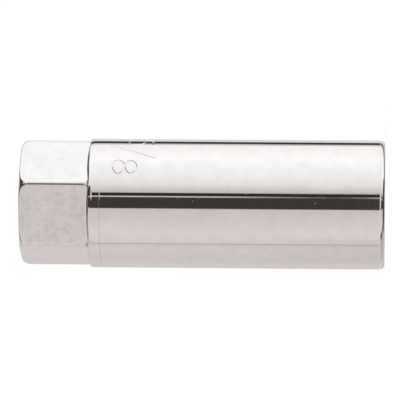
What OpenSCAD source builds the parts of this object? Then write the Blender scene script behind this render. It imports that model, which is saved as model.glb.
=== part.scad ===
// Spark plug socket: a deep chromed steel socket with a hexagon on its drive end
// and a rubber insert in its bore that grips the plug's insulator.
// It stands on its open end. The origin is the centre of that end, and +Z runs up the axis to the drive end.
// One flat of each hexagon, and one side of the drive square, faces -Y. All sizes are in millimetres.

/* [Barrel] */
// Length from the open end to the drive end
overall_length = 62.6; // [58:0.1:90]
// Outside diameter of the round barrel
barrel_diameter = 22.2; // [21.5:0.1:26]
// Round on the outer edge of the open end
open_edge_round = 0.8; // [0.2:0.05:1]
// Round on the barrel's edge beside the wrench hexagon
shoulder_edge_round = 0.3; // [0.1:0.05:1]
// Distance from the shoulder to the fine line turned round the barrel
turned_line_offset = 2; // [1:0.1:6]
// Width of the turned line
turned_line_width = 0.12; // [0.08:0.02:0.4]
// Depth of the turned line
turned_line_depth = 0.02; // [0.01:0.01:0.1]

/* [Wrench hexagon] */
// Outside size of the wrench hexagon, across its flats
hex_across_flats = 19.05; // [17:0.05:20]
// Length of the wrench hexagon, from the shoulder to the drive end
hex_length = 11.9; // [8:0.1:16]
// Round along the hexagon's six corners
hex_corner_round = 0.7; // [0.3:0.05:1.2]
// Round that takes the corners down to the drive end's face
hex_end_round = 1.35; // [0.5:0.05:2]
// Round that takes the corners in towards the shoulder
hex_inner_round = 0.8; // [0.5:0.05:1.5]
// How far the corners have come in at the shoulder
hex_inner_drop = 0.3; // [0.1:0.05:0.4]

/* [Drive square] */
// Inside size of the drive square, across its flats
drive_square = 9.6; // [9.5:0.05:10]
// Depth of the drive square
drive_depth = 11; // [9:0.1:13]
// Width of the lead-in chamfer round the square's mouth, measured at its flats
drive_lead_in = 1.6; // [0.5:0.1:2.5]
// Distance from the drive end to the middle of the detent groove
detent_offset = 5.6; // [4:0.1:7]
// Width of the detent groove
detent_width = 3.6; // [2.5:0.1:4.5]
// Depth of the detent groove below the square's flats
detent_depth = 0.7; // [0.3:0.05:1.2]

/* [Plug hexagon] */
// Inside size of the plug hexagon, across its flats
plug_across_flats = 16.05; // [14:0.05:16.5]
// Depth of the plug hexagon from the open end
plug_hex_depth = 20; // [14:0.5:22]
// Width of the lead-in chamfer at the open end, measured beyond the hexagon's corners
plug_lead_in = 0.33; // [0.1:0.01:0.5]

/* [Bore] */
// Step from the plug hexagon's flats down to the round bore
bore_step = 0.22; // [0.05:0.01:0.6]
// Thickness of the web between the bore's end and the drive square
web_thickness = 2.3; // [1.5:0.1:4]
// Diameter of the hole through the web
web_hole_diameter = 8; // [4:0.1:9]

/* [Rubber insert] */
// Length of the insert
insert_length = 17; // [12:0.5:19]
// Distance from the end of the plug hexagon to the insert
insert_setback = 2.2; // [0.5:0.1:3]
// Room left between the insert and the bore
insert_gap = 0.05; // [0.02:0.01:0.1]
// Width of the insert's outer bead, which sits in a groove in the bore
bead_width = 4; // [2:0.1:6]
// Depth of the bore's groove for the bead
bead_groove_depth = 0.6; // [0.3:0.05:1]
// Diameter inside the gripping ribs
grip_diameter = 9.6; // [8:0.1:11]
// Height of the gripping ribs
rib_height = 0.5; // [0.2:0.05:0.8]
// Width of each gripping rib
rib_width = 2.4; // [1:0.1:3]
// Number of gripping ribs
rib_count = 3; // [2:1:4]
// Chamfer at both ends of the insert's hole
insert_lead_in = 1.3; // [0.5:0.1:2]

/* [Hidden] */
$fn = 128;
// How far a cutter runs past the face that it opens
overrun = 1;
// Half of the included angle of a drill's point
drill_half_angle = 59;
// Slope of the plug hexagon's end, measured from the axis
lead_out_angle = 60;

barrel_radius = barrel_diameter / 2;
shoulder_z = overall_length - hex_length;
turned_line_z = shoulder_z - turned_line_offset;

hex_flat_radius = hex_across_flats / 2;
// Distance from the axis to the centre of each corner's round
hex_corner_centre = (hex_flat_radius - hex_corner_round) / cos(30);
hex_corner_radius = hex_corner_centre + hex_corner_round;
// Height above the shoulder where the corners begin to come in
hex_inner_rise = sqrt(pow(hex_inner_round, 2) - pow(hex_inner_round - hex_inner_drop, 2));

drive_floor_z = overall_length - drive_depth;
drive_mouth_radius = drive_square / 2 + drive_lead_in;
detent_radius = drive_square / 2 + detent_depth;

plug_corner_radius = plug_across_flats / 2 / cos(30);
plug_mouth_radius = plug_corner_radius + plug_lead_in;
bore_radius = plug_across_flats / 2 - bore_step;
lead_out_length = (plug_corner_radius - bore_radius) / tan(lead_out_angle);
web_hole_radius = web_hole_diameter / 2;
drill_point_length = (bore_radius - web_hole_radius) / tan(drill_half_angle);
bore_end_z = drive_floor_z - web_thickness - drill_point_length;

// The open end keeps a flat ring to stand on, so its round takes at most this share of the wall
open_round_share = 0.6;
open_round = min(open_edge_round, open_round_share * (barrel_radius - plug_mouth_radius));

insert_z = plug_hex_depth + lead_out_length + insert_setback;
insert_middle_z = insert_z + insert_length / 2;
insert_radius = bore_radius - insert_gap;
bead_radius = insert_radius + bead_groove_depth;
grip_radius = grip_diameter / 2;
relief_radius = grip_radius + rib_height;
// The ribs share the hole between the two lead-ins evenly, with a rib at each end
rib_span = insert_length - 2 * insert_lead_in;
rib_pitch = (rib_span - rib_width) / (rib_count - 1);

// What is cut from a profile's outer corner to leave a round that is centred here
module round_cut(radius) {
    difference() {
        square(radius + overrun);
        circle(r = radius);
    }
}

// The round barrel's outline, from the axis out
module barrel_profile() {
    difference() {
        square([barrel_radius, shoulder_z]);
        translate([barrel_radius - open_round, open_round])
            mirror([0, 1])
                round_cut(open_round);
        translate([barrel_radius - shoulder_edge_round, shoulder_z - shoulder_edge_round])
            round_cut(shoulder_edge_round);
        translate([barrel_radius, turned_line_z])
            polygon([[-turned_line_depth, 0], [0, turned_line_width / 2], [overrun, turned_line_width / 2],
                     [overrun, -turned_line_width / 2], [0, -turned_line_width / 2]]);
    }
}

// A hexagon with rounded corners and one flat facing -Y
module rounded_hexagon() {
    circle(r = hex_corner_centre, $fn = 6);
    for (side = [0 : 5])
        rotate(60 * side + 30)
            translate([0, -hex_corner_centre / 2])
                square([hex_flat_radius, hex_corner_centre]);
    for (corner = [0 : 5])
        rotate(60 * corner)
            translate([hex_corner_centre, 0])
                circle(r = hex_corner_round);
}

// The wrench hexagon, with its corners rounded down to the drive end's face and in towards the shoulder
module wrench_hexagon() {
    intersection() {
        translate([0, 0, shoulder_z - overrun])
            linear_extrude(hex_length + overrun)
                rounded_hexagon();
        rotate_extrude()
            difference() {
                square([hex_corner_radius + overrun, overall_length]);
                translate([hex_corner_radius - hex_end_round, overall_length - hex_end_round])
                    round_cut(hex_end_round);
                translate([hex_corner_radius - hex_inner_round, shoulder_z + hex_inner_rise])
                    mirror([0, 1])
                        round_cut(hex_inner_round);
            }
    }
}

// The square hole for the drive tang, with its lead-in and the groove that its detent ball clicks into
module drive_socket() {
    translate([-drive_square / 2, -drive_square / 2, drive_floor_z])
        cube([drive_square, drive_square, drive_depth + overrun]);
    translate([0, 0, overall_length - drive_mouth_radius])
        cylinder(r1 = 0, r2 = drive_mouth_radius + overrun, h = drive_mouth_radius + overrun);
    translate([0, 0, overall_length - detent_offset])
        cylinder(r = detent_radius, h = detent_width, center = true);
}

// The hexagonal hole for the plug, its corners tapering into the bore at the inner end
module plug_socket() {
    intersection() {
        translate([0, 0, -overrun])
            cylinder(r = plug_corner_radius, h = plug_hex_depth + lead_out_length + overrun, $fn = 6);
        union() {
            translate([0, 0, -overrun])
                cylinder(r = plug_corner_radius + overrun, h = plug_hex_depth + overrun);
            translate([0, 0, plug_hex_depth])
                cylinder(r1 = plug_corner_radius, r2 = bore_radius, h = lead_out_length);
        }
    }
    translate([0, 0, -overrun])
        cylinder(r1 = plug_mouth_radius + overrun, r2 = 0, h = plug_mouth_radius + overrun);
}

// The drilled bore, the groove for the insert's bead, and the hole through the web
module bore() {
    cylinder(r = bore_radius, h = bore_end_z);
    translate([0, 0, bore_end_z])
        cylinder(r1 = bore_radius, r2 = web_hole_radius, h = drill_point_length);
    cylinder(r = web_hole_radius, h = drive_floor_z + overrun);
    translate([0, 0, insert_middle_z])
        cylinder(r = bead_radius + insert_gap, h = bead_width + 2 * insert_gap, center = true);
}

// The forged, turned and plated steel body, one piece
module socket_body() {
    color("gainsboro")
        difference() {
            union() {
                rotate_extrude()
                    barrel_profile();
                wrench_hexagon();
            }
            drive_socket();
            plug_socket();
            bore();
        }
}

// The moulded insert: a sleeve with a bead outside and ribs inside, chamfered at both ends
module rubber_insert() {
    color("dimgray")
        translate([0, 0, insert_z])
            difference() {
                union() {
                    cylinder(r = insert_radius, h = insert_length);
                    translate([0, 0, insert_length / 2])
                        cylinder(r = bead_radius, h = bead_width, center = true);
                }
                translate([0, 0, -overrun])
                    cylinder(r = grip_radius, h = insert_length + 2 * overrun);
                for (gap = [0 : rib_count - 2])
                    translate([0, 0, insert_lead_in + rib_width + gap * rib_pitch])
                        cylinder(r = relief_radius, h = rib_pitch - rib_width);
                for (end = [0, 1])
                    translate([0, 0, end * insert_length])
                        mirror([0, 0, end])
                            translate([0, 0, -overrun])
                                cylinder(r1 = grip_radius + insert_lead_in + overrun, r2 = grip_radius,
                                         h = insert_lead_in + overrun);
            }
}

socket_body();
rubber_insert();
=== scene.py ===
import math
import bpy
from mathutils import Matrix, Vector
from mathutils.kdtree import KDTree


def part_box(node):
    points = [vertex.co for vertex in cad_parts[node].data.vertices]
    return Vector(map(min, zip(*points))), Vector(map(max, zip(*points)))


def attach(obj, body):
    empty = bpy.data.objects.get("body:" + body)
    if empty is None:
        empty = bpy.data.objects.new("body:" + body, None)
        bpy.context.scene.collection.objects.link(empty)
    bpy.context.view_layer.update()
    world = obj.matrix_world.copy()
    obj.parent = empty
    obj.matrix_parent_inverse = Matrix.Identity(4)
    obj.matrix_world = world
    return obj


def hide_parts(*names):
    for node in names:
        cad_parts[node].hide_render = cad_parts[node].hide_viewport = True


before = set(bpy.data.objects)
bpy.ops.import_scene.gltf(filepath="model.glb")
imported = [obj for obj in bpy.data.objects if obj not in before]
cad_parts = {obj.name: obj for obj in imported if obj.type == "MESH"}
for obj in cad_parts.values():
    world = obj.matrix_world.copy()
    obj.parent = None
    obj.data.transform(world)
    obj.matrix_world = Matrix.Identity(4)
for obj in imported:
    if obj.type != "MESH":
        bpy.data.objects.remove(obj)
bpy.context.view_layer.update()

mm = 0.001  # every size below is in millimetres
weld = 0.001 * mm  # points that lie closer than this become one
tiny = 1e-9  # keeps a leg without length from dividing by nothing
smoothAngle = 32  # degrees, edges that turn less than this are shaded smooth
hexagon = (6, 0)  # number of sides, and where one corner lies in degrees
square = (4, 45)


def solidOf(node):  # a CAD node's radius, foot and top, to a micrometre
    low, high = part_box(node)
    return {"radius": round(high.x / mm, 3), "foot": round(low.z / mm, 3), "top": round(high.z / mm, 3)}


bodySolid = solidOf("socket_body")
insertSolid = solidOf("rubber_insert")


# shared helpers

def linear(hexColour):  # sRGB hex to linear red, green, blue, alpha
    parts = [int(hexColour[i:i + 2], 16) / 255 for i in (1, 3, 5)]
    return [p / 12.92 if p <= 0.04045 else ((p + 0.055) / 1.055) ** 2.4 for p in parts] + [1.0]


def addNode(tree, kind, inputs=None, **settings):  # a value is set on its socket, a socket is linked to it
    node = tree.nodes.new("ShaderNode" + kind)
    for name, value in settings.items():
        setattr(node, name, value)
    for key, value in (inputs or {}).items():
        if isinstance(value, bpy.types.NodeSocket):
            tree.links.new(value, node.inputs[key])
        else:
            node.inputs[key].default_value = value
    return node


def startMaterial(name):
    material = bpy.data.materials.new(name)
    material.use_nodes = True
    material.node_tree.nodes.clear()
    return material


def nothingSelected():
    if bpy.context.object and bpy.context.object.mode != "OBJECT":
        bpy.ops.object.mode_set(mode="OBJECT")
    bpy.ops.object.select_all(action="DESELECT")


def selectOnly(piece):
    nothingSelected()
    piece.select_set(True)
    bpy.context.view_layer.objects.active = piece


def arc(centre, radius, start, end, steps=10):  # points of a round corner, angles in degrees
    turns = [math.radians(start + (end - start) * i / steps) for i in range(steps + 1)]
    return [(centre[0] + radius * math.cos(t), centre[1] + radius * math.sin(t)) for t in turns]


def spaced(line, count):  # count even steps along a line of points
    reach = [0.0]
    for a, b in zip(line, line[1:]):
        reach.append(reach[-1] + math.dist(a, b))
    points = []
    leg = 0
    for i in range(count + 1):
        goal = reach[-1] * i / count
        while leg < len(line) - 2 and reach[leg + 1] < goal:
            leg += 1
        part = (goal - reach[leg]) / max(reach[leg + 1] - reach[leg], tiny)
        a, b = line[leg], line[leg + 1]
        points.append((a[0] + (b[0] - a[0]) * part, a[1] + (b[1] - a[1]) * part))
    return points


def softened(line, passes):  # the polisher's touch: corners go round, both ends stay
    for turn in range(passes):
        inner = [((a[0] + 2 * b[0] + c[0]) / 4, (a[1] + 2 * b[1] + c[1]) / 4)
                 for a, b, c in zip(line, line[1:], line[2:])]
        line = [line[0]] + inner + [line[-1]]
    return line


def spinSection(name, section, startAngle, turns):  # a closed section drawn point by point, then spun up
    start = math.radians(startAngle)
    points = [Vector((r * math.cos(start), r * math.sin(start), z)) * mm for r, z in section]
    nothingSelected()
    bpy.ops.mesh.primitive_plane_add(size=mm, location=points[0])
    piece = bpy.context.object
    piece.name = name
    piece.data.name = name
    bpy.ops.object.mode_set(mode="EDIT")
    bpy.ops.mesh.select_all(action="SELECT")
    bpy.ops.mesh.merge(type="CENTER")
    for a, b in zip(points, points[1:] + points[:1]):
        bpy.ops.mesh.extrude_region_move(TRANSFORM_OT_translate={"value": b - a})
    bpy.ops.mesh.select_all(action="SELECT")
    bpy.ops.mesh.remove_doubles(threshold=weld)
    for steps, degrees in turns:
        bpy.ops.mesh.spin(steps=steps, angle=math.radians(degrees), center=(0, 0, 0), axis=(0, 0, 1))
    bpy.ops.mesh.select_all(action="SELECT")
    bpy.ops.mesh.remove_doubles(threshold=weld)
    bpy.ops.object.mode_set(mode="OBJECT")
    bpy.ops.object.transform_apply(location=True, rotation=True, scale=True)
    return piece


def facesOutward(piece):
    selectOnly(piece)
    bpy.ops.object.mode_set(mode="EDIT")
    bpy.ops.mesh.select_all(action="SELECT")
    bpy.ops.mesh.remove_doubles(threshold=weld)
    bpy.ops.mesh.normals_make_consistent(inside=False)
    bpy.ops.object.mode_set(mode="OBJECT")


def applyModifier(piece, kind, **settings):
    selectOnly(piece)
    modifier = piece.modifiers.new(kind.lower(), kind)
    for name, value in settings.items():
        setattr(modifier, name, value)
    bpy.ops.object.modifier_apply(modifier=modifier.name)


# the steel body

socketBody = {
    "length": bodySolid["top"], "barrelRadius": bodySolid["radius"], "openRound": 0.8,
    "edgeRound": 0.28, "edgeRoll": 0.5, "edgeDrop": 0.05,  # buffing rolls the shoulder's edge off a little
    "lineBack": 2.0, "lineRound": 0.5, "lineDeep": 0.0016,  # the fine line that a round-nosed tool turned
    "lineBeside": 0.2,  # plain barrel on both sides of it
    "lineUnshadedSide": (0.979, 0.204, 0.0),  # towards the side where the turned line keeps the plating's tone; away from it the line gets a painted shade
    "wrenchFlats": 19.05, "wrenchLong": 11.9, "wrenchCorner": 0.7, "wrenchEnd": 1.35,
    "rootShare": 0.45,  # the fillet at the hexagon's foot, as a share of the ledge there
    "neckRound": 0.8, "neckDrop": 0.3,  # the corners round off a little above the shoulder
    "driveFlats": 9.6, "driveDeep": 11.0, "driveCorner": 0.4, "driveLeadIn": 1.6,
    "detentBack": 5.6, "detentWide": 3.6, "detentDeep": 0.7,
    "detentLeast": 0.02,  # the groove runs on as a trace in the square's corners
    "plugFlats": 16.05, "plugDeep": 20.0, "plugCorner": 0.25, "plugLeadIn": 0.33,
    "boreStep": 0.22, "webThick": 2.3, "webHole": 4.0,
    "runOut": 60, "drillPoint": 59,  # how the plug hexagon and the bore end, in degrees from the axis
    # one run of rows hands over to the next this far from the open end, the turned line, the shoulder,
    # the drive end and the plug hexagon's end, and at these radii on the two end faces
    "footSeam": 4.0, "openSeam": 1.1, "lineSeam": 0.5, "neckSeam": 1.5, "endSeam": 2.6, "plugSeam": 1.5,
    "standSeam": 9.9, "faceSeam": 8.6,
    "cornerZone": 6.4, "cornerSteps": 20, "flatSteps": 44,  # columns round a corner, columns along a flat
}
shoulderAt = socketBody["length"] - socketBody["wrenchLong"]
lineAt = shoulderAt - socketBody["lineBack"]
boreRadius = socketBody["plugFlats"] / 2 - socketBody["boreStep"]
plugReach = socketBody["plugFlats"] / 2 / math.cos(math.pi / hexagon[0])  # to the sharp corners


def wallAt(angle, form, flats, cornerRound):  # from the axis to the wall of a rounded polygon
    sides, cornerAt = form
    step = 2 * math.pi / sides
    fromFlat = abs((angle - math.radians(cornerAt)) % step - step / 2)
    core = flats / 2 - cornerRound
    if fromFlat <= math.atan(core * math.tan(step / 2) / (flats / 2)):
        return flats / 2 / math.cos(fromFlat)
    centre = core / math.cos(step / 2)
    fromCorner = step / 2 - fromFlat
    return centre * math.cos(fromCorner) + math.sqrt(cornerRound ** 2 - (centre * math.sin(fromCorner)) ** 2)


def outerRuns(angle):  # foot, open edge, barrel, turned line, shoulder, flat and drive end at one angle
    b = socketBody
    top, radius = b["length"], b["barrelRadius"]
    lineSeam, neckSeam, endSeam = lineAt - b["lineSeam"], shoulderAt + b["neckSeam"], top - b["endSeam"]
    plug = wallAt(angle, hexagon, b["plugFlats"], b["plugCorner"])
    wrench = wallAt(angle, hexagon, b["wrenchFlats"], b["wrenchCorner"])
    cornerRadius = wallAt(math.radians(hexagon[1]), hexagon, b["wrenchFlats"], b["wrenchCorner"])

    mouth, openRound = plugReach + b["plugLeadIn"], b["openRound"]
    foot = [(plug, b["footSeam"]), (plug, mouth - plug), (mouth, 0.0), (b["standSeam"], 0.0)]
    openEdge = [(b["standSeam"], 0.0)]
    openEdge += arc((radius - openRound, openRound), openRound, -90, 0, steps=24)
    openEdge += [(radius, b["openSeam"])]
    barrel = [(radius, b["openSeam"]), (radius, lineSeam)]

    lineRound = b["lineRound"]
    lineLift = radius + lineRound - b["lineDeep"]
    lineTurn = math.degrees(math.acos(1 - b["lineDeep"] / lineRound))
    turnedLine = [(radius, lineSeam), (radius, lineAt - b["lineBeside"])]
    turnedLine += arc((lineLift, lineAt), lineRound, 180 + lineTurn, 180 - lineTurn, steps=8)
    turnedLine += [(radius, lineAt + b["lineBeside"]), (radius, shoulderAt - b["edgeRound"] - b["edgeRoll"])]

    edge = b["edgeRound"]
    edgeCentre = (radius - b["edgeDrop"] - edge, shoulderAt - edge)
    rollSteps = 8
    roll = []
    for i in range(rollSteps):
        part = i / rollSteps
        roll.append((radius - b["edgeDrop"] * part ** 2, edgeCentre[1] - b["edgeRoll"] * (1 - part)))
    neckRound = b["neckRound"]
    neckTurn = math.degrees(math.acos(1 - b["neckDrop"] / neckRound))
    neckCentre = (cornerRadius - neckRound, shoulderAt + neckRound * math.sin(math.radians(neckTurn)))
    wall = min(wrench, cornerRadius - b["neckDrop"])
    root = b["rootShare"] * (edgeCentre[0] - wall)
    ledge = arc(edgeCentre, edge, 0, 90) + arc((wall + root, shoulderAt + root), root, 270, 180, steps=6)
    if wrench > wall:  # near a corner the neck takes the place of the root's last points
        neckEnd = math.degrees(math.acos(min((wrench - neckCentre[0]) / neckRound, 1)))
        ledge = ledge[:-3] + arc(neckCentre, neckRound, -neckTurn, -neckEnd, steps=8)
    shoulder = roll + ledge + [(wrench, neckSeam)]
    flat = [(wrench, neckSeam), (wrench, endSeam)]

    endRound = b["wrenchEnd"]
    endCentre = (cornerRadius - endRound, top - endRound)
    driveEnd = [(wrench, endSeam)]
    if wrench > endCentre[0]:
        meet = math.degrees(math.acos(min((wrench - endCentre[0]) / endRound, 1)))
        driveEnd += arc(endCentre, endRound, meet, 90)
    else:
        driveEnd += [(wrench, top)]
    driveEnd += [(b["faceSeam"], top)]
    return foot, openEdge, barrel, turnedLine, shoulder, flat, driveEnd


def innerRuns(angle):  # lead-in of the drive square, the walls down to the plug hexagon, and its wall
    b, r = socketBody, rubberInsert
    top, hole = b["length"], b["webHole"]
    endSeam, plugSeam = top - b["endSeam"], b["plugDeep"] - b["plugSeam"]
    plug = wallAt(angle, hexagon, b["plugFlats"], b["plugCorner"])
    drive = wallAt(angle, square, b["driveFlats"], b["driveCorner"])

    mouth = b["driveFlats"] / 2 + b["driveLeadIn"]
    leadIn = [(b["faceSeam"], top), (max(mouth, drive), top)]
    if drive < mouth:
        leadIn += [(drive, top - mouth + drive)]
    leadIn += [(drive, endSeam)]

    detent = max(b["driveFlats"] / 2 + b["detentDeep"], drive + b["detentLeast"])
    detentHigh = top - b["detentBack"] + b["detentWide"] / 2
    detentLow = detentHigh - b["detentWide"]
    driveFloor = top - b["driveDeep"]
    webLow = driveFloor - b["webThick"]
    boreEnd = webLow - (boreRadius - hole) / math.tan(math.radians(b["drillPoint"]))
    bead = r["bead"] + r["gap"]  # the groove that the insert's bead sits in
    beadLow = (r["low"] + r["high"] - r["beadWide"]) / 2 - r["gap"]
    beadHigh = beadLow + r["beadWide"] + 2 * r["gap"]
    runOut = math.tan(math.radians(b["runOut"]))
    boreStart, plugEnd = [b["plugDeep"] + (plugReach - wall) / runOut for wall in (boreRadius, plug)]
    walls = [(drive, endSeam), (drive, detentHigh), (detent, detentHigh), (detent, detentLow),
             (drive, detentLow), (drive, driveFloor), (hole, driveFloor), (hole, webLow),
             (boreRadius, boreEnd), (boreRadius, beadHigh), (bead, beadHigh), (bead, beadLow),
             (boreRadius, beadLow), (boreRadius, boreStart), (plug, plugEnd), (plug, plugSeam)]
    plugWall = [(plug, plugSeam), (plug, b["footSeam"])]
    return leadIn, walls, plugWall


def socketSection(angle):  # the body cut open at one angle, round from the plug hexagon and back
    foot, openEdge, barrel, turnedLine, shoulder, flat, driveEnd = outerRuns(angle)
    leadIn, walls, plugWall = innerRuns(angle)
    runs = (  # each run, its number of rows (0 keeps its own points) and how often it is softened
        (foot, 16, 1), (openEdge, 30, 1), (barrel, 8, 0), (turnedLine, 0, 0), (shoulder, 56, 1),
        (flat, 4, 0), (driveEnd, 34, 5), (leadIn, 16, 1), (walls, 0, 0), (plugWall, 3, 0))
    section = []
    for line, rows, passes in runs:
        section += softened(spaced(line, rows) if rows else line, passes)[:-1]
    return section


def makeSocketBody():
    b = socketBody
    zone, sides = b["cornerZone"], hexagon[0]
    start = hexagon[1] - zone / 2
    base = socketSection(math.radians(start))
    turns = [(b["cornerSteps"], zone), (b["flatSteps"], 360 / sides - zone)] * sides
    body = spinSection("socketBody", base, start, turns)
    rows = KDTree(len(base))
    for i, (r, z) in enumerate(base):
        rows.insert((r, z, 0), i)
    rows.balance()
    sections = {}
    for vertex in body.data.vertices:  # the spun blank is pressed to its flats, column by column
        x, y, z = vertex.co / mm
        angle = math.atan2(y, x)
        column = round(math.degrees(angle), 2)
        if column not in sections:
            sections[column] = socketSection(angle)
        row = rows.find((math.hypot(x, y), z, 0))[1]
        r, z = sections[column][row]
        vertex.co = Vector((r * math.cos(angle), r * math.sin(angle), z)) * mm
    facesOutward(body)
    columns = sum(steps for steps, degrees in turns)
    print("socket body spun and pressed:", len(base), "rows,", columns, "columns")
    return body


# the stamped size: a diagonal fraction that reads round the barrel, its top towards the open end

sizeMark = {
    "eightAt": (-44.1, 44.55), "fiveAt": (-6.7, 41.9),  # degrees round, height up the axis
    "slash": ((-16.6, 47.0), (-34.5, 39.3)),
    "high": 4.15, "wide": 2.75,
    "rings": ((1.0, -0.5, 0.5), (0.94, 0.52, 0.48)),  # of the 8: half width, middle and half height
    "bar": ((0.9, 1.0), (-0.75, 1.0), (-0.9, 0.08)),  # of the 5, in parts of the figure
    "bowlAt": (0.0, -0.34), "bowlTurn": (140, -150), "bowlHigh": 0.66,
    "ringSteps": 32, "bowlSteps": 24, "toolSteps": 16,
    "strokeSteps": 40,  # enough for a long stroke to follow the barrel
    "toolRadius": 0.22, "toolLift": 0.135,  # a round-nosed stamp, pressed in by the difference
    "lean": 0.013, "slashEnd": 0.83,  # the blow leaned to one side, and was light at the end of the slash
}


def stampStroke(body, points, weights, closed):  # points are degrees round the barrel and height up the axis
    out = socketBody["barrelRadius"] + sizeMark["toolLift"]
    curve = bpy.data.curves.new("stroke", "CURVE")
    curve.dimensions = "3D"
    curve.bevel_depth = sizeMark["toolRadius"] * mm
    curve.bevel_resolution = sizeMark["toolSteps"]
    curve.use_fill_caps = True
    spline = curve.splines.new("POLY")
    spline.points.add(len(points) - 1)
    for point, (degrees, z), weight in zip(spline.points, points, weights):
        turn = math.radians(degrees)
        point.radius = weight
        point.co = (out * math.cos(turn) * mm, out * math.sin(turn) * mm, z * mm, 1)
    spline.use_cyclic_u = closed
    stroke = bpy.data.objects.new("stroke", curve)
    bpy.context.collection.objects.link(stroke)
    selectOnly(stroke)
    bpy.ops.object.convert(target="MESH")
    stroke = bpy.context.object
    facesOutward(stroke)
    applyModifier(body, "BOOLEAN", operation="DIFFERENCE", solver="EXACT", object=stroke)
    bpy.data.objects.remove(stroke, do_unlink=True)


def stampSize(body):
    m = sizeMark
    perDegree = math.radians(1) * socketBody["barrelRadius"]
    halfHigh, halfWide = m["high"] / 2, m["wide"] / 2 / perDegree

    def placed(at, line):  # across runs back round the barrel, up runs to the open end
        return [(at[0] - across * halfWide, at[1] - up * halfHigh) for across, up in line]

    turns = [2 * math.pi * i / m["ringSteps"] for i in range(m["ringSteps"])]
    for half, middle, tall in m["rings"]:
        ring = placed(m["eightAt"], [(half * math.cos(t), middle + tall * math.sin(t)) for t in turns])
        stampStroke(body, ring, [1 + m["lean"] * (m["eightAt"][0] - degrees) for degrees, z in ring], True)

    steps = m["strokeSteps"]
    bowl = arc(m["bowlAt"], 1.0, *m["bowlTurn"], steps=m["bowlSteps"])
    middle = m["bowlAt"][1]
    five = list(m["bar"]) + [(x, middle + (y - middle) * m["bowlHigh"]) for x, y in bowl]
    stampStroke(body, spaced(placed(m["fiveAt"], five), steps), [1] * (steps + 1), False)
    fade = [1 + (m["slashEnd"] - 1) * (i / steps) ** 2 for i in range(steps + 1)]
    stampStroke(body, spaced(m["slash"], steps), fade, False)
    facesOutward(body)
    print("size stamped")


# the rubber insert

rubberInsert = {
    "low": insertSolid["foot"], "high": insertSolid["top"], "bead": insertSolid["radius"], "beadWide": 4.0,
    "gap": 0.05,  # room left between the insert and the bore
    "grip": 4.8, "relief": 5.3, "rib": 2.4, "ribs": 3, "leadIn": 1.3,
    "ribSlope": 0.25,  # length of the slope beside each rib
    "seam": 6.9,  # radius on the lower end where the section closes
    "columns": 144, "rows": 220, "passes": 3,
}


def makeRubberInsert():
    r = rubberInsert
    low, high, bead, out = r["low"], r["high"], r["bead"], boreRadius - r["gap"]
    grip, relief, leadIn, slope = r["grip"], r["relief"], r["leadIn"], r["ribSlope"]
    beadLow, beadHigh = [(low + high + side * r["beadWide"]) / 2 for side in (-1, 1)]
    line = [(r["seam"], low), (out, low), (out, beadLow), (bead, beadLow), (bead, beadHigh),
            (out, beadHigh), (out, high), (grip + leadIn, high), (grip, high - leadIn)]
    pitch = (high - low - 2 * leadIn - r["rib"]) / (r["ribs"] - 1)
    for i in range(r["ribs"] - 1):  # down the hole: rib, relief, rib, relief, rib
        ribEnd = high - leadIn - i * pitch - r["rib"]
        nextRib = ribEnd - pitch + r["rib"]
        line += [(grip, ribEnd), (relief, ribEnd - slope), (relief, nextRib + slope), (grip, nextRib)]
    line += [(grip, low + leadIn), (grip + leadIn, low), (r["seam"], low)]
    section = softened(spaced(line, r["rows"]), r["passes"])[:-1]
    insert = spinSection("rubberInsert", section, 0, [(r["columns"], 360)])
    facesOutward(insert)
    print("rubber insert spun:", len(section), "rows")
    return insert


# materials

chromePlate = {
    # the turned line's tone in this row is a painted shade for the dark reflection in its groove, not a
    # plating colour
    "plate": "#CFCDCC", "hazePlate": "#C9C7C7", "skinPlate": "#BEBBBB", "lineShade": "#BAB7B6",
    "innerPlate": "#A9A6A3",
    "innerRadius": (9.46, 9.36), "innerTop": (0.1, 0.4),  # inner plating: radius, and below the drive end
    "waves": 7.0, "rings": 0.35, "ringLong": 9.0, "specks": 1.7, "haze": 2.0, "skin": 0.9,  # pattern sizes
    "ringDepth": 0.06, "innerDepth": 2.0, "bump": 0.006,
    "speckRough": 0.2, "innerRough": 0.24, "skinRough": 0.15,
    "wrenchFrom": (0.2, 0.6), "frontFlat": (0.325, 0.075),  # above the shoulder, and inside that flat
    "lineHalf": 0.06, "lineShadeFade": (2.5, -1.0),  # half its width, and where its painted shade fades out, going towards the unshaded side
}


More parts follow.
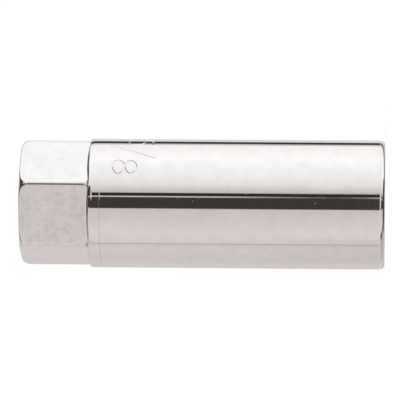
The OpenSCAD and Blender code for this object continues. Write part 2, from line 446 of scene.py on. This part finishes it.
def chromeMaterial():
    # Bright chrome over polished steel: a mirror with the buffing's long shallow waves and faint specks.
    # The wrench hexagon keeps some forging skin under its plating, which dulls it in small patches.
    # Inside, the plating is thin and shows the drilled and broached walls as a duller satin.
    c = chromePlate
    material = startMaterial("bright chrome plate, buffed")
    tree = material.node_tree
    place = addNode(tree, "TexCoord").outputs["Object"]
    split = addNode(tree, "SeparateXYZ", {0: place})
    across, height = split.outputs["Y"], split.outputs["Z"]
    flatPlace = addNode(tree, "CombineXYZ", {"X": split.outputs["X"], "Y": across})
    fromAxis = addNode(tree, "VectorMath", {0: flatPlace.outputs[0]}, operation="LENGTH").outputs["Value"]
    start, full = [radius * mm for radius in c["innerRadius"]]
    insideWall = addNode(tree, "MapRange", {"Value": fromAxis, "From Min": start, "From Max": full})
    start, full = [(socketBody["length"] - depth) * mm for depth in c["innerTop"]]
    belowEnd = addNode(tree, "MapRange", {"Value": height, "From Min": start, "From Max": full})
    inside = addNode(tree, "Math", {0: insideWall.outputs[0], 1: belowEnd.outputs[0]}, operation="MULTIPLY")
    inside = inside.outputs[0]

    # relief: buffing waves and turning rings outside, deeper rings inside
    waves = addNode(tree, "TexNoise", {"Vector": place, "Scale": 1 / (c["waves"] * mm), "Detail": 1.0})
    long, fine = 1 / (c["ringLong"] * mm), 1 / (c["rings"] * mm)
    stretch = addNode(tree, "Mapping", {"Vector": place, "Scale": (long, long, fine)})
    rings = addNode(tree, "TexNoise", {"Vector": stretch.outputs[0], "Scale": 1.0, "Detail": 2.0})
    ringDepth = addNode(tree, "Math", {0: rings.outputs[0], 1: c["ringDepth"]}, operation="MULTIPLY")
    innerDepth = addNode(tree, "Math", {0: rings.outputs[0], 1: c["innerDepth"]}, operation="MULTIPLY")
    outerDepth = addNode(tree, "Math", {0: waves.outputs[0], 1: ringDepth.outputs[0]}, operation="ADD")
    relief = addNode(tree, "Mix", {0: inside, 2: outerDepth.outputs[0], 3: innerDepth.outputs[0]},
                     data_type="FLOAT")
    bump = addNode(tree, "Bump", {"Height": relief.outputs[0], "Strength": 1.0, "Distance": c["bump"] * mm})

    # forging skin on the wrench hexagon, most of all on the flat that faces -Y
    skin = addNode(tree, "TexNoise", {"Vector": place, "Scale": 1 / (c["skin"] * mm), "Detail": 3.0})
    dull = addNode(tree, "MapRange", {"Value": skin.outputs[0], "From Min": 0.46, "From Max": 0.76})
    start, full = [(depth - socketBody["wrenchFlats"] / 2) * mm for depth in c["frontFlat"]]
    frontFlat = addNode(tree, "MapRange", {"Value": across, "From Min": start, "From Max": full,
                                           "To Min": 0.25, "To Max": 1.0})
    start, full = [(shoulderAt + rise) * mm for rise in c["wrenchFrom"]]
    onWrench = addNode(tree, "MapRange", {"Value": height, "From Min": start, "From Max": full})
    dull = addNode(tree, "Math", {0: dull.outputs[0], 1: frontFlat.outputs[0]}, operation="MULTIPLY")
    dull = addNode(tree, "Math", {0: dull.outputs[0], 1: onWrench.outputs[0]}, operation="MULTIPLY")
    dull = dull.outputs[0]

    # gloss: handling haze, forging skin and specks outside, satin inside
    haze = addNode(tree, "TexNoise", {"Vector": place, "Scale": 1 / (c["haze"] * mm), "Detail": 4.0})
    haze = haze.outputs[0]
    gloss = addNode(tree, "MapRange", {"Value": haze, "From Min": 0.35, "From Max": 0.75,
                                       "To Min": 0.03, "To Max": 0.06})
    gloss = addNode(tree, "Math", {0: dull, 1: c["skinRough"], 2: gloss.outputs[0]},
                    operation="MULTIPLY_ADD")
    specks = addNode(tree, "TexVoronoi", {"Vector": place, "Scale": 1 / (c["specks"] * mm)})
    speck = addNode(tree, "MapRange", {"Value": specks.outputs["Distance"], "From Min": 0.10,
                                       "From Max": 0.03})
    gloss = addNode(tree, "Mix", {0: speck.outputs[0], 2: gloss.outputs[0], 3: c["speckRough"]},
                    data_type="FLOAT")
    gloss = addNode(tree, "Mix", {0: inside, 2: gloss.outputs[0], 3: c["innerRough"]}, data_type="FLOAT")

    # colour: the plating, dulled by haze and skin, and a painted shade on one side of the turned line,
    # standing in for the dark reflection in its groove
    tone = addNode(tree, "MapRange", {"Value": haze, "From Min": 0.3, "From Max": 0.7})
    plate = addNode(tree, "Mix", {0: tone.outputs[0], 6: linear(c["plate"]), 7: linear(c["hazePlate"])},
                    data_type="RGBA")
    plate = addNode(tree, "Mix", {0: dull, 6: plate.outputs[2], 7: linear(c["skinPlate"])}, data_type="RGBA")
    # painted shade: the turned line goes darker on the side away from the bright panels
    inLine = addNode(tree, "Math", {0: height, 1: lineAt * mm, 2: c["lineHalf"] * mm}, operation="COMPARE")
    towardsUnshaded = addNode(tree, "VectorMath", {0: place, 1: socketBody["lineUnshadedSide"]}, operation="DOT_PRODUCT")
    start, full = [way * mm for way in c["lineShadeFade"]]
    shadedSide = addNode(tree, "MapRange", {"Value": towardsUnshaded.outputs["Value"], "From Min": start, "From Max": full})
    lineShadeMask = addNode(tree, "Math", {0: inLine.outputs[0], 1: shadedSide.outputs[0]}, operation="MULTIPLY")
    plate = addNode(tree, "Mix", {0: lineShadeMask.outputs[0], 6: plate.outputs[2], 7: linear(c["lineShade"])},
                    data_type="RGBA")
    colour = addNode(tree, "Mix", {0: inside, 6: plate.outputs[2], 7: linear(c["innerPlate"])},
                     data_type="RGBA")
    shader = addNode(tree, "BsdfPrincipled", {"Base Color": colour.outputs[2], "Metallic": 1.0,
                                              "Roughness": gloss.outputs[0], "Normal": bump.outputs[0]})
    addNode(tree, "OutputMaterial", {"Surface": shader.outputs[0]})
    return material


blackRubber = {
    "rubber": "#1C1B1A", "bloomed": "#2C2A28", "ior": 1.52,
    "grain": 0.25, "bloom": 3.0, "bump": 0.02,  # mould grain, patches of bloom and the grain's depth
}


def rubberMaterial():
    # Moulded black nitrile rubber: dull, with the mould's fine grain and a little grey bloom in patches.
    r = blackRubber
    material = startMaterial("black nitrile rubber, moulded")
    tree = material.node_tree
    place = addNode(tree, "TexCoord").outputs["Object"]
    grain = addNode(tree, "TexNoise", {"Vector": place, "Scale": 1 / (r["grain"] * mm), "Detail": 3.0})
    bloom = addNode(tree, "TexNoise", {"Vector": place, "Scale": 1 / (r["bloom"] * mm), "Detail": 4.0})
    patch = addNode(tree, "MapRange", {"Value": bloom.outputs[0], "From Min": 0.4, "From Max": 0.75})
    colour = addNode(tree, "Mix", {0: patch.outputs[0], 6: linear(r["rubber"]), 7: linear(r["bloomed"])},
                     data_type="RGBA")
    rough = addNode(tree, "MapRange", {"Value": bloom.outputs[0], "To Min": 0.55, "To Max": 0.8})
    bump = addNode(tree, "Bump", {"Height": grain.outputs[0], "Strength": 1.0, "Distance": r["bump"] * mm})
    shader = addNode(tree, "BsdfPrincipled", {"Base Color": colour.outputs[2], "Roughness": rough.outputs[0],
                                              "IOR": r["ior"], "Normal": bump.outputs[0]})
    addNode(tree, "OutputMaterial", {"Surface": shader.outputs[0]})
    return material


# studio: a pale floor, and soft panels all round that the mirror shows as bands
# A bearing is in degrees round from the camera towards the hexagon's bright flat, a slope in degrees up.

studio = {
    "azimuth": 11.75, "level": 1.05,
    "panelStrength": 1.675,  # makes up for what the chrome takes, so a panel shows as its colour here
    "panels": (  # bearing, and the panel's tone there
        (-180, "#A6A2A1"), (-165, "#B4AFAF"), (-145, "#C6BFBF"), (-108, "#C9C3C3"), (-90, "#CDC7C7"),
        (-78.8, "#C9C3C3"), (-77, "#A29C9C"), (-75.2, "#CFCAC9"), (-52, "#D4CFCE"), (-22, "#CAC4C4"),
        (-9.6, "#C4BEBE"), (-9, "#3A3532"), (13.6, "#3A3532"), (13.8, "#2C2724"), (18.5, "#2C2724"),
        (19.7, "#C0B9B8"), (28, "#D4CFCF"), (36, "#E4E0DF"), (52, "#EDEDEC"), (86, "#FAFBFA"),
        (129.5, "#EEEEED"), (130.5, "#C4C0BF"), (135.8, "#CBC7C6"), (136.6, "#35312F"), (147.6, "#35312F"),
        (148.8, "#D1CECD"), (160, "#C2BFBE"), (180, "#A6A2A1")),
    "slit": (11.0, 13.3, "#BEB8B5"),  # light leaks between two panels, least where the slit is pinched
    "slitWidens": (0.2, 1.95), "slitCurve": 1.8, "slitOpens": (0.42, -0.2),
    "gap": (-8.5, 19.0, "#D6D1D0"),  # the dark gap between the panels has a light patch above and below
    "gapAbove": (10.3, 4.3), "gapAboveFades": (3.0, 14.0),  # middle and half of its slopes, and its bearings
    "gapBelow": -1.5, "gapBelowEnds": ((-8.0, -16.0), (19.0, -26.0)),
    "underBoard": (-130.0, -65.0, "#ACA8A7"), "underBoardSlopes": (1.5, -30.0), "underBoardCurve": 0.5,
    "patches": (  # bearings, tone, and the slopes where a patch begins and where it is whole
        (18.0, 32.0, "#3A3532", 13.0, 17.0),  # above the gap's bright side
        (136.0, 170.0, "#3A3635", -20.0, -56.0),  # low on the far side
        (-69.0, -55.0, "#4A4645", -8.0, -13.0),  # the lower edge of the dull board
        (-77.0, -9.0, "#E2DEDD", 30.0, 34.0)),  # over that board
    "ceiling": (  # bearing, and the slope at which the dark ceiling starts there
        (-180, 64), (-150, 64), (-120, 60), (-108, 53), (-97, 49), (-88, 42), (-76, 42), (-64, 48),
        (-52, 54), (-26, 55), (-18, 49), (40, 49), (48, 34), (66, 33), (80, 40), (95, 45), (108, 41),
        (120, 34), (145, 33), (158, 64), (180, 64)),
    "dark": "#3A3635", "darkBelow": 64.0, "darkEdge": 1.0,  # and the same below, with a soft edge
    "skylight": (-150.0, -45.0, "#A29E9D"), "skylightSlopes": (70.5, 7.5),  # middle and half
    "overhead": (-180.0, 180.0, "#8A8685"), "overheadSlopes": (84.0, 88.0),
}


def makeWorld():
    s = studio
    world = bpy.data.worlds.new("soft studio")
    bpy.context.scene.world = world
    world.use_nodes = True
    tree = world.node_tree
    tree.nodes.clear()
    turn = math.radians(s["azimuth"])
    toCamera, toSide = (math.sin(turn), -math.cos(turn), 0), (math.cos(turn), math.sin(turn), 0)
    way = addNode(tree, "TexCoord").outputs["Generated"]
    ahead = addNode(tree, "VectorMath", {0: way, 1: toCamera}, operation="DOT_PRODUCT").outputs["Value"]
    aside = addNode(tree, "VectorMath", {0: way, 1: toSide}, operation="DOT_PRODUCT").outputs["Value"]
    bearing = addNode(tree, "Math", {0: aside, 1: ahead}, operation="ARCTAN2")
    bearing = addNode(tree, "Math", {0: bearing.outputs[0]}, operation="DEGREES").outputs[0]
    rise = addNode(tree, "SeparateXYZ", {0: way}).outputs["Z"]
    slope = addNode(tree, "Math", {0: rise}, operation="ARCSINE")
    slope = addNode(tree, "Math", {0: slope.outputs[0]}, operation="DEGREES").outputs[0]
    part = addNode(tree, "MapRange", {"Value": bearing, "From Min": -180.0, "From Max": 180.0}).outputs[0]

    def roundAbout(steps):  # a colour for every bearing, from a few bearings
        ramp = addNode(tree, "ValToRGB", {0: part})
        stops = ramp.color_ramp.elements
        stops.remove(stops[1])
        for i, (degrees, colour) in enumerate(steps):
            at = (degrees + 180) / 360
            stop = stops[0] if i == 0 else stops.new(at)
            stop.position = at
            stop.color = colour
        return ramp.outputs[0]

    def overlay(zone, amount):  # one patch over what is seen so far, between two bearings
        low, high, colour = zone
        across = addNode(tree, "Math", {0: bearing, 1: (low + high) / 2, 2: (high - low) / 2},
                         operation="COMPARE")
        amount = addNode(tree, "Math", {0: across.outputs[0], 1: amount}, operation="MULTIPLY").outputs[0]
        return addNode(tree, "Mix", {0: amount, 6: seen, 7: linear(colour)}, data_type="RGBA").outputs[2]

    seen = roundAbout([(degrees, linear(colour)) for degrees, colour in s["panels"]])

    start, full = s["slitWidens"]
    widens = addNode(tree, "MapRange", {"Value": slope, "From Min": start, "From Max": full})
    widens = addNode(tree, "Math", {0: widens.outputs[0], 1: s["slitCurve"]}, operation="POWER")
    start, full = s["slitOpens"]
    opens = addNode(tree, "MapRange", {"Value": slope, "From Min": start, "From Max": full})
    slitLight = addNode(tree, "Math", {0: widens.outputs[0], 1: opens.outputs[0]}, operation="MAXIMUM")
    seen = overlay(s["slit"], slitLight.outputs[0])

    middle, half = s["gapAbove"]
    above = addNode(tree, "Math", {0: slope, 1: middle, 2: half}, operation="COMPARE")
    start, full = s["gapAboveFades"]
    fades = addNode(tree, "MapRange", {"Value": bearing, "From Min": start, "From Max": full})
    above = addNode(tree, "Math", {0: above.outputs[0], 1: fades.outputs[0]}, operation="MULTIPLY")
    (start, startSlope), (end, endSlope) = s["gapBelowEnds"]
    lowest = addNode(tree, "MapRange", {"Value": bearing, "From Min": start, "From Max": end,
                                        "To Min": startSlope, "To Max": endSlope})
    begins = addNode(tree, "Math", {0: slope, 1: s["gapBelow"]}, operation="LESS_THAN")
    lasts = addNode(tree, "Math", {0: slope, 1: lowest.outputs[0]}, operation="GREATER_THAN")
    below = addNode(tree, "Math", {0: begins.outputs[0], 1: lasts.outputs[0]}, operation="MULTIPLY")
    gapLight = addNode(tree, "Math", {0: above.outputs[0], 1: below.outputs[0]}, operation="MAXIMUM")
    seen = overlay(s["gap"], gapLight.outputs[0])

    start, full = s["underBoardSlopes"]
    shade = addNode(tree, "MapRange", {"Value": slope, "From Min": start, "From Max": full})
    shade = addNode(tree, "Math", {0: shade.outputs[0], 1: s["underBoardCurve"]}, operation="POWER")
    seen = overlay(s["underBoard"], shade.outputs[0])
    for low, high, colour, start, full in s["patches"]:
        amount = addNode(tree, "MapRange", {"Value": slope, "From Min": start, "From Max": full})
        seen = overlay((low, high, colour), amount.outputs[0])

    # the dark ceiling, at its own slope for each bearing, and a dark floor at one slope
    ceiling = roundAbout([(degrees, [height / 90] * 3 + [1]) for degrees, height in s["ceiling"]])
    capAbove = addNode(tree, "Math", {0: ceiling, 1: 90.0}, operation="MULTIPLY")
    isUp = addNode(tree, "Math", {0: slope, 1: 0.0}, operation="GREATER_THAN").outputs[0]
    capAt = addNode(tree, "Mix", {0: isUp, 2: s["darkBelow"], 3: capAbove.outputs[0]}, data_type="FLOAT")
    steep = addNode(tree, "Math", {0: slope}, operation="ABSOLUTE").outputs[0]
    past = addNode(tree, "Math", {0: steep, 1: capAt.outputs[0]}, operation="SUBTRACT").outputs[0]
    cap = addNode(tree, "MapRange", {"Value": past, "From Min": -s["darkEdge"], "From Max": s["darkEdge"]})
    seen = addNode(tree, "Mix", {0: cap.outputs[0], 6: seen, 7: linear(s["dark"])}, data_type="RGBA")
    seen = seen.outputs[2]
    middle, half = s["skylightSlopes"]
    skylight = addNode(tree, "Math", {0: slope, 1: middle, 2: half}, operation="COMPARE")
    seen = overlay(s["skylight"], skylight.outputs[0])
    start, full = s["overheadSlopes"]
    overhead = addNode(tree, "MapRange", {"Value": slope, "From Min": start, "From Max": full})
    seen = overlay(s["overhead"], overhead.outputs[0])

    # the panels for the mirror, plain light for everything else, and white behind it all
    mirrored = addNode(tree, "Background", {"Color": seen, "Strength": s["panelStrength"]}).outputs[0]
    plain = addNode(tree, "Background", {"Color": (1, 1, 1, 1), "Strength": s["level"]}).outputs[0]
    white = addNode(tree, "Background", {"Color": (1, 1, 1, 1), "Strength": 1.0}).outputs[0]
    rays = addNode(tree, "LightPath")
    light = addNode(tree, "MixShader", {0: rays.outputs["Is Glossy Ray"], 1: plain, 2: mirrored}).outputs[0]
    whole = addNode(tree, "MixShader", {0: rays.outputs["Is Camera Ray"], 1: light, 2: white})
    addNode(tree, "OutputWorld", {"Surface": whole.outputs[0]})
    print("studio lit")


paleFloor = {
    "radius": 400.0, "sides": 128, "paper": "#FBFBFB",
    "mirrored": "#DEDBDA", "near": (15.0, 24.0), "far": (34.0, 48.0),  # a painted reflection: a ring of this tone round the foot that glows for mirror rays only
}


def makeFloor():
    f = paleFloor
    nothingSelected()
    bpy.ops.mesh.primitive_circle_add(vertices=f["sides"], radius=f["radius"] * mm, fill_type="NGON")
    floor = bpy.context.object
    floor.name = "paleFloor"

    # White paper: plain and dull, so it keeps a soft shadow.
    # For mirror rays it is a glowing ring round the foot, a painted reflection of fixed tone in place of the
    # lit paper and its shadow.
    material = startMaterial("white paper sweep")
    tree = material.node_tree
    paper = addNode(tree, "BsdfDiffuse", {"Color": linear(f["paper"])}).outputs[0]
    place = addNode(tree, "TexCoord").outputs["Object"]
    fromFoot = addNode(tree, "VectorMath", {0: place}, operation="LENGTH").outputs["Value"]
    start, full = f["near"]
    inside = addNode(tree, "MapRange", {"Value": fromFoot, "From Min": full * mm, "From Max": start * mm})
    start, full = f["far"]
    outside = addNode(tree, "MapRange", {"Value": fromFoot, "From Min": start * mm, "From Max": full * mm})
    clear = addNode(tree, "Math", {0: inside.outputs[0], 1: outside.outputs[0]}, operation="ADD").outputs[0]
    # painted reflection: the ring glows at a fixed tone for the chrome, without the paper's shadow
    glow = addNode(tree, "Emission", {"Color": linear(f["mirrored"]), "Strength": studio["panelStrength"]})
    through = addNode(tree, "BsdfTransparent")  # elsewhere the panels go on below the floor
    mirrored = addNode(tree, "MixShader", {0: clear, 1: glow.outputs[0], 2: through.outputs[0]}).outputs[0]
    glossy = addNode(tree, "LightPath").outputs["Is Glossy Ray"]
    sheet = addNode(tree, "MixShader", {0: glossy, 1: paper, 2: mirrored})
    addNode(tree, "OutputMaterial", {"Surface": sheet.outputs[0]})
    floor.data.materials.append(material)
    print("floor laid")


# camera: the photograph looks square at the barrel, turned so that the axis runs across the frame

viewpoint = {
    "distance": 776.0, "height": 0.5, "frameWide": 69.02,
    "aimUp": 31.9, "aimAcross": 0.653, "roll": 0.43,
    "sensor": 36.0, "clipStart": 10.0,
}


def makeCamera():
    v = viewpoint
    turn = math.radians(studio["azimuth"])
    towards = Vector((math.sin(turn), -math.cos(turn), 0))
    across = Vector((math.cos(turn), math.sin(turn), 0))
    place = (towards * v["distance"] + Vector((0, 0, v["height"]))) * mm
    aim = (across * v["aimAcross"] + Vector((0, 0, v["aimUp"]))) * mm
    forward = (aim - place).normalized()
    down = Vector((0, 0, -1))  # the open end lies to the right
    right = (down - down.dot(forward) * forward).normalized()
    up = right.cross(forward)
    roll = math.radians(v["roll"])
    right, up = right * math.cos(roll) + up * math.sin(roll), up * math.cos(roll) - right * math.sin(roll)
    data = bpy.data.cameras.new("camera")
    data.sensor_width = v["sensor"]
    data.lens = v["sensor"] * v["distance"] / v["frameWide"]
    data.clip_start = v["clipStart"] * mm
    camera = bpy.data.objects.new("camera", data)
    bpy.context.collection.objects.link(camera)
    camera.matrix_world = Matrix((right, up, -forward)).transposed().to_4x4()
    camera.location = place
    bpy.context.scene.camera = camera
    bpy.context.scene.view_settings.view_transform = "Standard"
    print("camera placed")


# put together

makeCamera()
makeWorld()
makeFloor()

body = makeSocketBody()
stampSize(body)
insert = makeRubberInsert()
for piece, node, slot, material in ((body, "socket_body", "chromed_steel", chromeMaterial()),
                                    (insert, "rubber_insert", "black_rubber", rubberMaterial())):
    selectOnly(piece)
    bpy.ops.object.shade_smooth_by_angle(angle=math.radians(smoothAngle))
    applyModifier(piece, "WEIGHTED_NORMAL", keep_sharp=True)
    piece.data.materials.clear()
    piece.data.materials.append(material)
    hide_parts(node)
    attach(piece, "root")
    print(piece.name, "has", sum(len(p.vertices) - 2 for p in piece.data.polygons), "triangles")
